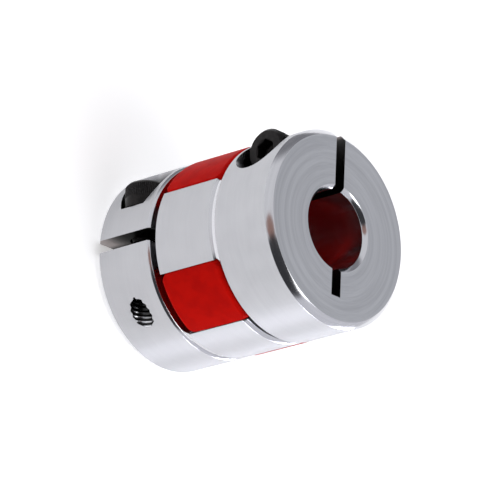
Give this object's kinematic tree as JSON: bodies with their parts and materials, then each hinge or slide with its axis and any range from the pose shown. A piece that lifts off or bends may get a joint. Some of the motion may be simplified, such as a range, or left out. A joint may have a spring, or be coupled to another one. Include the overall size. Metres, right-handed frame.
{
  "type": "jaw coupling",
  "caption": "Clamping jaw coupling: slit metal hubs whose interlocking jaws grip an elastic spider, each hub clamped on its shaft by a tangential socket screw.",
  "frame": {"origin": "centre of the rear hub's end face, on the shaft axis", "axes": "+Z along the shaft axis from the rear hub to the front hub; +X is the way the rear hub's slit opens"},
  "size_m": [0.03, 0.03, 0.035],
  "materials": {
    "hub_aluminium": "bright turned aluminium, fine lathe lines",
    "spider_elastomer": "semi-gloss moulded polyurethane",
    "screw_steel": "black oxide, knurled head"
  },
  "bodies": {
    "rear_hub": {"rear_hub": "hub_aluminium"},
    "spider": {"spider": "spider_elastomer"},
    "front_hub": {"front_hub": "hub_aluminium"},
    "rear_clamp_screw": {"rear_clamp_screw": "screw_steel"},
    "front_clamp_screw": {"front_clamp_screw": "screw_steel"}
  },
  "joints": [
    {"name": "spider_slide", "type": "slide", "parent": "rear_hub", "child": "spider", "axis": [0, 0, 1], "range_m": [0, 0.014]},
    {"name": "front_hub_slide", "type": "slide", "parent": "spider", "child": "front_hub", "axis": [0, 0, 1], "range_m": [0, 0.016]},
    {"name": "rear_screw_turn", "type": "hinge", "parent": "rear_hub", "child": "rear_clamp_screw", "pos_m": [0.0107, -0.0057, 0.0062], "axis": [0, -1, 0], "range_deg": [0, 450]},
    {"name": "front_screw_turn", "type": "hinge", "parent": "front_hub", "child": "front_clamp_screw", "pos_m": [0.0057, -0.0107, 0.0288], "axis": [1, 0, 0], "range_deg": [0, 450]}
  ]
}
